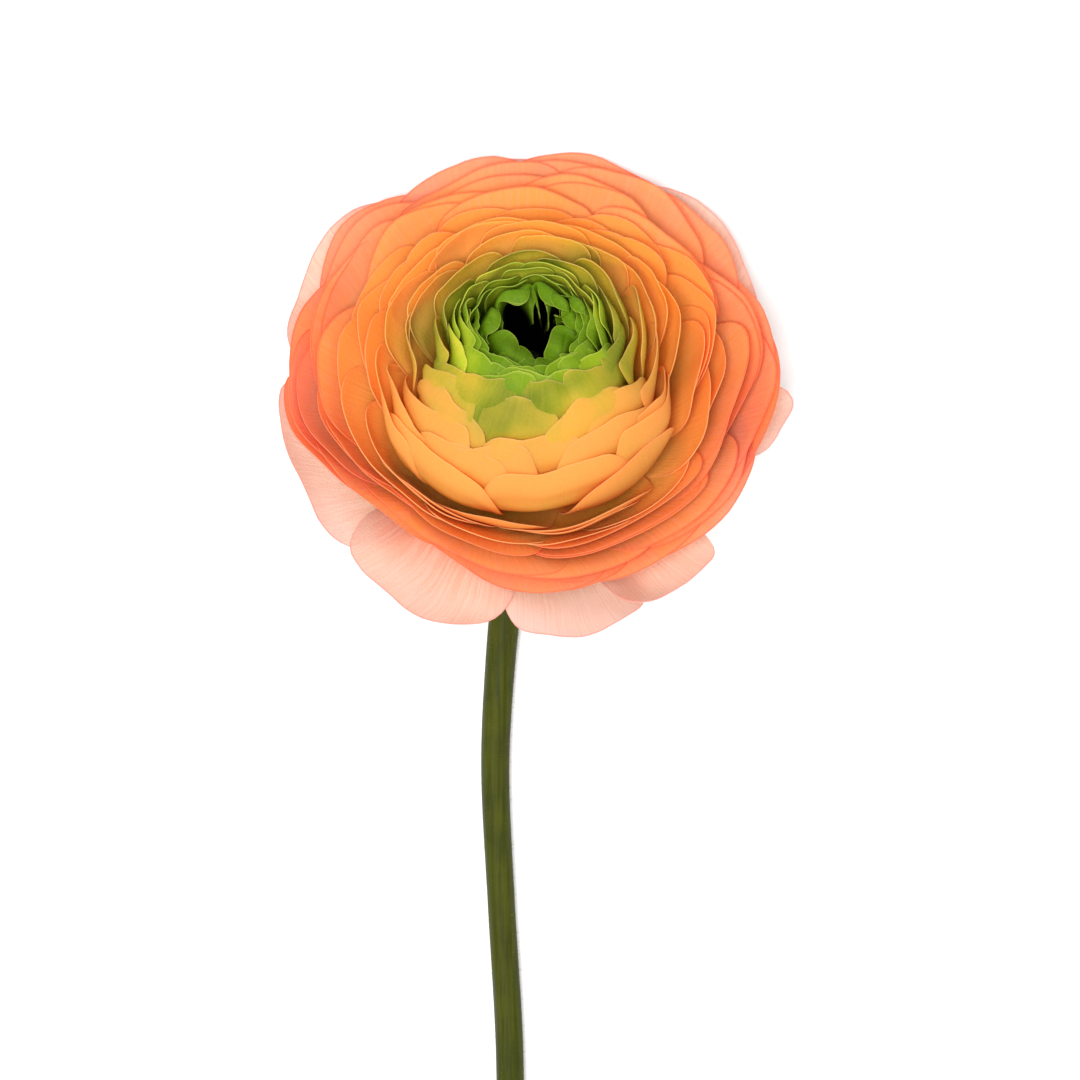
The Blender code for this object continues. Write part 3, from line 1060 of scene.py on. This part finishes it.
# how much further in the colour run a petal's inner face lies than its outer face
INSIDE_SHIFT = {
    Whorl.GUARD: 0.0,
    Whorl.OUTER: 0.05,
    Whorl.MIDDLE: 0.12,
    Whorl.INNER: -0.05,
    Whorl.HEART: -0.11,
}

# colour from the outermost petals to the heart, over a petal's tone
TONE_RUN = (
    (0.00, (0.91, 0.79, 0.74)),
    (0.09, (0.91, 0.70, 0.58)),
    (0.14, (0.99, 0.58, 0.43)),
    (0.24, (0.99, 0.60, 0.27)),
    (0.36, (1.00, 0.64, 0.18)),
    (0.48, (1.00, 0.68, 0.13)),
    (0.60, (0.98, 0.64, 0.10)),
    (0.67, (0.95, 0.63, 0.09)),
    (0.73, (0.90, 0.66, 0.07)),
    (0.79, (0.72, 0.65, 0.05)),
    (0.84, (0.40, 0.49, 0.02)),
    (0.88, (0.20, 0.32, 0.008)),
    (0.93, (0.125, 0.235, 0.005)),
    (1.00, (0.10, 0.22, 0.003)),
)


def start_material(name: str) -> tuple[Material, NodeSheet]:
    """Make an empty node material and the sheet to fill it."""
    material = bpy.data.materials.new(name)
    material.use_nodes = True
    material.node_tree.nodes.clear()
    return material, NodeSheet(material.node_tree)


def add_marks(sheet: NodeSheet, groups: dict, fineness: float, seed, width: float) -> tuple:
    """Add the veins and the margin of a petal or sepal.

    Args:
        sheet: Where to add them.
        groups: The shared node groups, "veins" and "margin".
        fineness: How many veins lie side by side.
        seed: What tells one piece's veins from the next.
        width: The margin's width as a share of the piece.

    Returns:
        How far along the piece each place lies, the veins' outputs and the margin's mask.
    """
    flat = sheet.add("ShaderNodeUVMap", uv_map="UVMap").outputs["UV"]
    split = sheet.add("ShaderNodeSeparateXYZ", {0: flat}).outputs
    place = {"Across": split["X"], "Along": split["Y"]}
    veins = {**place, "Fineness": fineness, "Seed": seed}
    veins = sheet.add("ShaderNodeGroup", veins, node_tree=groups["veins"])
    margin = sheet.add("ShaderNodeGroup", {**place, "Width": width}, node_tree=groups["margin"])
    return split["Y"], veins.outputs, margin.outputs["Mask"]


@dataclass(frozen=True)
class PetalFinish:
    """The colour, margin, veins and glow of one whorl's petals."""

    name: str
    # The margin colour is the guard and outer petals' own edge colour; on the middle, inner and heart petals
    # it is a paler edge, partly a painted highlight along the rim.
    margin_and_highlight_colour: Colour
    margin_width: float
    margin_strength: float
    vein_colour: Colour
    vein_strength: float
    vein_fineness: float
    blush_colour: Colour
    blush_strength: float
    claw_shift: float  # how much further in the colour run the claw lies
    painted_claw_shade: float  # how bright the claw is against the blade; below 1 it is painted shade, darkening the petal towards its claw deep in the flower
    glow: float  # share of light that passes through
    through_tint: Colour  # colour that light takes on in passing through
    roughness: float = 0.5
    bump: float = 0.3
    unevenness: float = 0.3  # how far the colour wanders along the run

    relief = 0.0003  # depth of the surface's grain, in metres
    specular = 0.1

    def material(self, groups: dict[str, Tree]) -> Material:
        """Build the material with the shared node groups, "veins" and "margin"."""
        material, sheet = start_material(self.name)
        tone = sheet.number("tone")
        seed = sheet.math("MULTIPLY", tone, 91.0)
        along, veins, margin = add_marks(sheet, groups, self.vein_fineness, seed, self.margin_width)
        spot = sheet.spot()
        grain = sheet.noise(spot, 2600.0, 2.0)
        cloud = sheet.math("SUBTRACT", sheet.noise(spot, 85.0, 2.0), 0.5)
        inward = sheet.math("MULTIPLY_ADD", sheet.math("SUBTRACT", 1.0, along), self.claw_shift, tone)
        colour = sheet.ramp(sheet.math("MULTIPLY_ADD", cloud, self.unevenness, inward), TONE_RUN)
        vein_share = sheet.math("MULTIPLY", veins["Shade"], self.vein_strength)
        colour = sheet.mix(vein_share, colour, self.vein_colour)
        speck = sheet.math("MULTIPLY", sheet.span(grain, 0.35, 0.75), 0.2)
        colour = sheet.mix(speck, colour, (1.0, 0.93, 0.8), "SOFT_LIGHT")
        fading = sheet.span(tone, 0.7, 0.8, self.blush_strength, self.blush_strength * 0.15)
        blush_share = sheet.math("MULTIPLY", sheet.span(along, 0.62, 1.0), fading)
        colour = sheet.mix(blush_share, colour, self.blush_colour)
        # The margin: the petal's own edge colour, and where it is paler, partly a painted highlight along the
        # rim.
        margin_and_highlight_share = sheet.math("MULTIPLY", margin, self.margin_strength)
        colour = sheet.mix(margin_and_highlight_share, colour, self.margin_and_highlight_colour)
        # Painted shade: towards the claw the colour is multiplied darker, where the deep heart lies in shadow.
        if self.painted_claw_shade < 1.0:
            depth = sheet.span(along, 0.55, 0.92, self.painted_claw_shade, 1.0)
            colour = sheet.mix(1.0, colour, sheet.point(depth, depth, depth), "MULTIPLY")
        bump = sheet.bump(self.bump, self.relief, sheet.math("MULTIPLY_ADD", grain, 0.35, veins["Height"]))
        skin = sheet.skin(colour, self.roughness, self.specular, bump)
        warm = sheet.mix(1.0, colour, self.through_tint, "MULTIPLY")
        through = sheet.add("ShaderNodeBsdfTranslucent", {"Color": warm, "Normal": bump}).outputs[0]
        sheet.surface(sheet.add("ShaderNodeMixShader", {0: self.glow, 1: skin, 2: through}).outputs[0])
        return material


PETAL_FINISHES = {
    Whorl.GUARD: PetalFinish(
        "guard_petal_skin", (1.0, 0.42, 0.38), 0.009, 0.7, (1.0, 0.90, 0.84), 0.42, 80.0,
        (1.0, 0.60, 0.50), 0.12, 0.2, 1.0, 0.45, (1.0, 0.92, 0.84), bump=0.6, unevenness=0.1,
    ),
    Whorl.OUTER: PetalFinish(
        "outer_petal_skin", (0.98, 0.28, 0.16), 0.008, 0.6, (1.0, 0.78, 0.46), 0.3, 70.0,
        (1.0, 0.43, 0.24), 0.3, 0.3, 1.0, 0.6, (1.0, 0.72, 0.5), bump=0.45,
    ),
    # Middle petals: their pale margin is partly a painted highlight along the rims.
    Whorl.MIDDLE: PetalFinish(
        "middle_petal_skin", (1.0, 0.70, 0.34), 0.006, 0.6, (1.0, 0.72, 0.20), 0.25, 60.0,
        (1.0, 0.56, 0.22), 0.25, -0.05, 1.0, 0.6, (1.0, 0.5, 0.25), bump=0.4,
    ),
    # Inner petals: their pale margin is partly a painted highlight along the rims.
    Whorl.INNER: PetalFinish(
        "inner_petal_skin", (1.0, 0.72, 0.34), 0.006, 0.4, (1.0, 0.76, 0.16), 0.12, 55.0,
        (1.0, 0.48, 0.20), 0.42, 0.0, 1.0, 0.6, (1.0, 0.88, 0.6),
    ),
    # Heart petals: painted shade turns their claws near black inside the eye; their yellow-green margin is
    # partly their own paler edge, partly a painted highlight along the rims.
    Whorl.HEART: PetalFinish(
        "heart_petal_skin", (0.62, 0.70, 0.12), 0.010, 0.4, (0.34, 0.48, 0.03), 0.12, 40.0,
        (0.44, 0.52, 0.03), 0.15, 0.04, 0.0, 0.28, (1.0, 1.0, 1.0),
    ),
}


@dataclass(frozen=True)
class SepalFinish:
    """Olive sepals with paler margins and fine lengthwise veins."""

    dark: Colour = (0.13, 0.17, 0.03)
    light: Colour = (0.24, 0.29, 0.07)
    margin: Colour = (0.55, 0.55, 0.28)

    def material(self, groups: dict[str, Tree]) -> Material:
        """Build the material."""
        material, sheet = start_material("sepal_skin")
        _, veins, margin = add_marks(sheet, groups, 30.0, 0.0, 0.09)
        colour = sheet.mix(veins["Shade"], self.dark, self.light)
        colour = sheet.mix(sheet.math("MULTIPLY", margin, 0.8), colour, self.margin)
        sheet.surface(sheet.skin(colour, 0.6, 0.5, sheet.bump(0.5, 0.0004, veins["Height"])))
        return material


@dataclass(frozen=True)
class StemFinish:
    """Dark olive stem with lengthwise streaks, and a pale moist cut."""

    dark: Colour = (0.028, 0.035, 0.0005)
    light: Colour = (0.054, 0.061, 0.001)
    cut: Colour = (0.50, 0.56, 0.26)

    def material(self) -> Material:
        """Build the material."""
        material, sheet = start_material("stem_skin")
        spot = sheet.spot()
        stretched = sheet.add("ShaderNodeMapping", {"Vector": spot, "Scale": (1700.0, 90.0, 1700.0)})
        streak = sheet.noise(stretched.outputs[0], 1.0, 3.0)
        blotch = sheet.noise(spot, 160.0, 3.0)
        share = sheet.span(sheet.math("MULTIPLY_ADD", blotch, 0.6, streak), 0.55, 1.05)
        colour = sheet.mix(sheet.number("cut"), sheet.mix(share, self.dark, self.light), self.cut)
        rough = sheet.span(streak, 0.3, 0.7, 0.45, 0.65)
        sheet.surface(sheet.skin(colour, rough, 0.15, sheet.bump(0.35, 0.0003, streak)))
        return material


@dataclass(frozen=True)
class GrainFinish:
    """A plain plant surface with a fine grain, for the down and the seed cone."""

    name: str
    dark: Colour
    light: Colour
    roughness: float
    scale: float

    def material(self) -> Material:
        """Build the material."""
        material, sheet = start_material(self.name)
        grain = sheet.noise(sheet.spot(), self.scale, 4.0)
        colour = sheet.mix(sheet.span(grain, 0.3, 0.7), self.dark, self.light)
        sheet.surface(sheet.skin(colour, self.roughness, 0.2, sheet.bump(0.3, 0.0003, grain)))
        return material


# ---------------- stage


@dataclass
class Stage:
    """The pale floor, the soft light and the camera above the flower."""

    head: HeadFrame
    distance: float = 700.0
    frame_width: float = 179.3  # what the camera takes in at the flower
    lean: float = 12.0  # degrees that the camera leans from the vertical towards +Y
    aim_side: float = 1.66
    aim_down: float = 18.8

    room_light: float = 0.66
    white: float = 0.95  # how pale the floor is
    sensor: float = 36.0

    lamps = (
        # name, place, size and power
        ("key", (-0.10, 0.14, 0.98), 0.4, 10.0),
        ("fill", (-0.5, -0.55, 0.7), 0.6, 1.5),
    )

    def build(self) -> None:
        """Build floor, lights and camera."""
        self.floor()
        self.lights()
        self.camera()
        bpy.context.scene.view_settings.view_transform = "Standard"

    def floor(self) -> None:
        """Lay the floor."""
        deselect()
        bpy.ops.mesh.primitive_plane_add(size=6.0, location=(0.0, 0.0, -0.0001))
        floor = bpy.context.object
        floor.name = "pale_floor"
        material = bpy.data.materials.new("pale_floor_paint")
        material = bpy.data.materials.new("pale_floor_paint")
        material.use_nodes = True
        skin = material.node_tree.nodes["Principled BSDF"]
        skin.inputs["Base Color"].default_value = (self.white, self.white, self.white, 1.0)
        skin.inputs["Roughness"].default_value = 0.8
        floor.data.materials.append(material)

    def lights(self) -> None:
        """Light the room evenly, with a lamp almost over the flower and a weak one on the low left."""
        world = bpy.data.worlds.new("studio")
        world.use_nodes = True
        room = world.node_tree.nodes["Background"]
        room.inputs["Color"].default_value = (1.0, 1.0, 1.0, 1.0)
        room.inputs["Strength"].default_value = self.room_light
        bpy.context.scene.world = world
        for name, place, size, power in self.lamps:
            bpy.ops.object.light_add(type="AREA", location=place)
            lamp = bpy.context.object
            lamp.name = name
            lamp.data.size = size
            lamp.data.energy = power
            lamp.rotation_euler = (-Vector(place)).to_track_quat("-Z", "Y").to_euler()

    def camera(self) -> None:
        """Place the camera looking down on the flower."""
        tilt = math.radians(self.lean)
        towards = Vector((0.0, math.sin(tilt), math.cos(tilt)))
        up = Vector((0.0, math.cos(tilt), -math.sin(tilt)))
        side = Vector((1.0, 0.0, 0.0))
        aim = self.head.foot + side * self.aim_side - up * self.aim_down
        bpy.ops.object.camera_add(location=(aim + towards * self.distance) * MM)
        camera = bpy.context.object
        camera.name = "camera"
        camera.rotation_euler = Matrix((side, up, towards)).transposed().to_euler()
        camera.data.sensor_width = self.sensor
        camera.data.lens = self.sensor * self.distance / self.frame_width
        camera.data.clip_end = 20.0
        bpy.context.scene.camera = camera


def main() -> None:
    """Build the flower and its stage."""
    logging.basicConfig(level=logging.INFO)
    head = HeadFrame.of_model()
    groups = {"veins": vein_group(), "margin": margin_group()}
    finishes = {whorl: finish.material(groups) for whorl, finish in PETAL_FINISHES.items()}
    Corolla(head).build(finishes)
    Nest(head).build(finishes[Whorl.HEART])
    # The seed cone's near-black colour is partly painted shade of the deep eye.
    cone = GrainFinish("seed_cone_skin", (0.004, 0.005, 0.002), (0.018, 0.02, 0.008), 0.7, 900.0).material()
    SeedCone(head).build(cone)
    Calyx(head).build(SepalFinish().material(groups))
    down = GrainFinish("stem_down_skin", (0.10, 0.12, 0.01), (0.18, 0.20, 0.02), 0.7, 500.0).material()
    Stem(head).build(StemFinish().material(), down)
    Stage(head).build()


if __name__ == "__main__":
    main()
